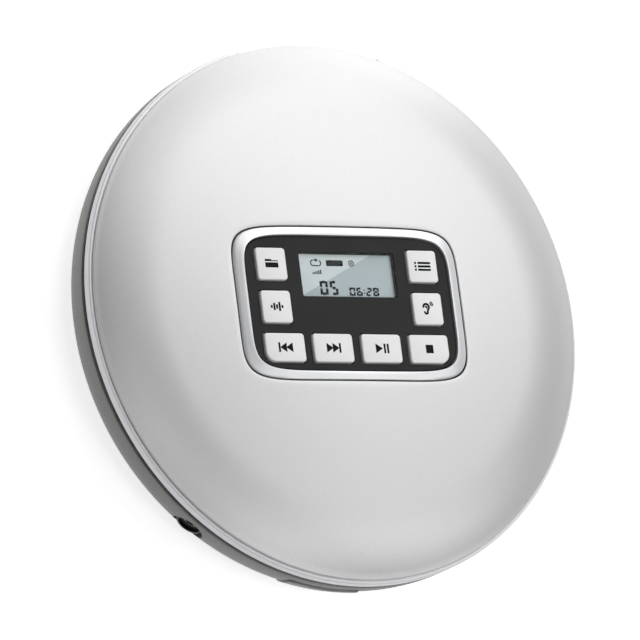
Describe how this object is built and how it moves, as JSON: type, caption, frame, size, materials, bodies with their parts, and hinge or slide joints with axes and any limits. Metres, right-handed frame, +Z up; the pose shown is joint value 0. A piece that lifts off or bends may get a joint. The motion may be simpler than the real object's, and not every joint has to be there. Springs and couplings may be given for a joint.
{
  "type": "portable disc player",
  "caption": "Round portable disc player with a hinged domed lid, a key and display panel in the lid, a disc drive and a battery bay below.",
  "frame": {"origin": "centre of the round body on the surface that the feet stand on", "axes": "+Z up through the lid, +Y towards the lid's hinge, +X to the right of the keys"},
  "size_m": [0.14, 0.1404, 0.0265],
  "materials": {
    "silver_paint": "satin silver paint on moulded plastic",
    "grey_plastic": "fine moulded texture",
    "black_plastic": "semi-gloss moulded",
    "white_plastic": "satin moulded",
    "bright_frame": "plated bright trim",
    "steel": "ground and nickel plated",
    "brass": "turned",
    "rubber": "matte",
    "board": "solder mask over glass fibre",
    "clear_window": "clear polished",
    "lens_glass": "coated"
  },
  "bodies": {
    "base": {"lower_shell": "grey_plastic", "upper_housing": "silver_paint", "foot_1": "rubber", "foot_2": "rubber", "foot_3": "rubber", "foot_4": "rubber", "main_board": "board", "headphone_jack": "black_plastic", "power_jack": "black_plastic", "lid_switch": "black_plastic", "hinge_pin": "steel", "lid_spring": "steel", "spindle_motor": "steel", "sled_motor": "steel", "chassis_plate": "steel", "damper_1": "rubber", "damper_2": "rubber", "damper_3": "rubber", "damper_4": "rubber", "guide_rod_1": "steel", "guide_rod_2": "steel", "contact_bridge": "steel", "contact_positive": "steel", "contact_negative": "steel", "battery_spring_1": "steel", "battery_spring_2": "steel"},
    "lid": {"lid_shell": "silver_paint", "panel_frame": "bright_frame", "fascia": "black_plastic", "display_window": "clear_window", "display_module": "grey_plastic", "key_pad": "rubber", "lid_board": "board", "inner_cover": "grey_plastic"},
    "spindle": {"spindle_shaft": "steel", "turntable": "black_plastic", "chuck_hub": "black_plastic"},
    "sled": {"pickup_sled": "black_plastic", "pickup_lens": "lens_glass", "sled_rack": "white_plastic"},
    "idler": {"idler_gear": "white_plastic"},
    "pinion": {"motor_pinion": "brass"},
    "battery_cover": {"battery_door": "grey_plastic"},
    "open_latch": {"open_button": "grey_plastic", "latch_slider": "white_plastic"},
    "hold_switch": {"hold_slider": "grey_plastic"},
    "volume_up_key": {"volume_up": "grey_plastic"},
    "volume_down_key": {"volume_down": "grey_plastic"},
    "key_left_upper_body": {"key_left_upper": "white_plastic"},
    "key_left_lower_body": {"key_left_lower": "white_plastic"},
    "key_right_upper_body": {"key_right_upper": "white_plastic"},
    "key_right_lower_body": {"key_right_lower": "white_plastic"},
    "key_previous_body": {"key_previous": "white_plastic"},
    "key_next_body": {"key_next": "white_plastic"},
    "key_play_body": {"key_play": "white_plastic"},
    "key_stop_body": {"key_stop": "white_plastic"}
  },
  "joints": [
    {"name": "lid_hinge", "type": "hinge", "parent": "base", "child": "lid", "pos_m": [0, 0.0652, 0.0165], "axis": [-1, 0, 0], "range_deg": [0, 75]},
    {"name": "spindle_spin", "type": "hinge", "parent": "base", "child": "spindle", "pos_m": [0, 0, 0.015], "axis": [0, 0, 1], "continuous": true},
    {"name": "sled_slide", "type": "slide", "parent": "base", "child": "sled", "axis": [1, 0, 0], "range_m": [0, 0.0315]},
    {"name": "idler_spin", "type": "hinge", "parent": "base", "child": "idler", "pos_m": [0.029, 0.0234, 0.009], "axis": [0, 0, 1], "range_deg": [0, 430]},
    {"name": "pinion_spin", "type": "hinge", "parent": "base", "child": "pinion", "pos_m": [0.02087, 0.03153, 0.009], "axis": [0, 0, 1], "range_deg": [-1548, 0]},
    {"name": "battery_door_hinge", "type": "hinge", "parent": "base", "child": "battery_cover", "pos_m": [0, -0.0279, 0.0018], "axis": [1, 0, 0], "range_deg": [0, 95]},
    {"name": "open_press", "type": "slide", "parent": "base", "child": "open_latch", "axis": [0.1392, 0.9903, 0], "range_m": [0, 0.001], "stiffness_N_per_m": 600},
    {"name": "hold_slide", "type": "slide", "parent": "base", "child": "hold_switch", "axis": [0.4226, 0.9063, 0], "range_m": [0, 0.003]},
    {"name": "volume_up_press", "type": "slide", "parent": "base", "child": "volume_up_key", "axis": [-0.8241, -0.5664, 0], "range_m": [0, 0.0005], "stiffness_N_per_m": 400},
    {"name": "volume_down_press", "type": "slide", "parent": "base", "child": "volume_down_key", "axis": [-0.91, -0.4147, 0], "range_m": [0, 0.0005], "stiffness_N_per_m": 400},
    {"name": "key_left_upper_press", "type": "slide", "parent": "lid", "child": "key_left_upper_body", "axis": [0, 0, -1], "range_m": [0, 0.0005], "stiffness_N_per_m": 400},
    {"name": "key_left_lower_press", "type": "slide", "parent": "lid", "child": "key_left_lower_body", "axis": [0, 0, -1], "range_m": [0, 0.0005], "stiffness_N_per_m": 400},
    {"name": "key_right_upper_press", "type": "slide", "parent": "lid", "child": "key_right_upper_body", "axis": [0, 0, -1], "range_m": [0, 0.0005], "stiffness_N_per_m": 400},
    {"name": "key_right_lower_press", "type": "slide", "parent": "lid", "child": "key_right_lower_body", "axis": [0, 0, -1], "range_m": [0, 0.0005], "stiffness_N_per_m": 400},
    {"name": "key_previous_press", "type": "slide", "parent": "lid", "child": "key_previous_body", "axis": [0, 0, -1], "range_m": [0, 0.0005], "stiffness_N_per_m": 400},
    {"name": "key_next_press", "type": "slide", "parent": "lid", "child": "key_next_body", "axis": [0, 0, -1], "range_m": [0, 0.0005], "stiffness_N_per_m": 400},
    {"name": "key_play_press", "type": "slide", "parent": "lid", "child": "key_play_body", "axis": [0, 0, -1], "range_m": [0, 0.0005], "stiffness_N_per_m": 400},
    {"name": "key_stop_press", "type": "slide", "parent": "lid", "child": "key_stop_body", "axis": [0, 0, -1], "range_m": [0, 0.0005], "stiffness_N_per_m": 400}
  ],
  "couplings": [
    {"joint": "idler_spin", "follows": "sled_slide", "rad_per_m": 238.1},
    {"joint": "pinion_spin", "follows": "sled_slide", "rad_per_m": -857.14}
  ]
}
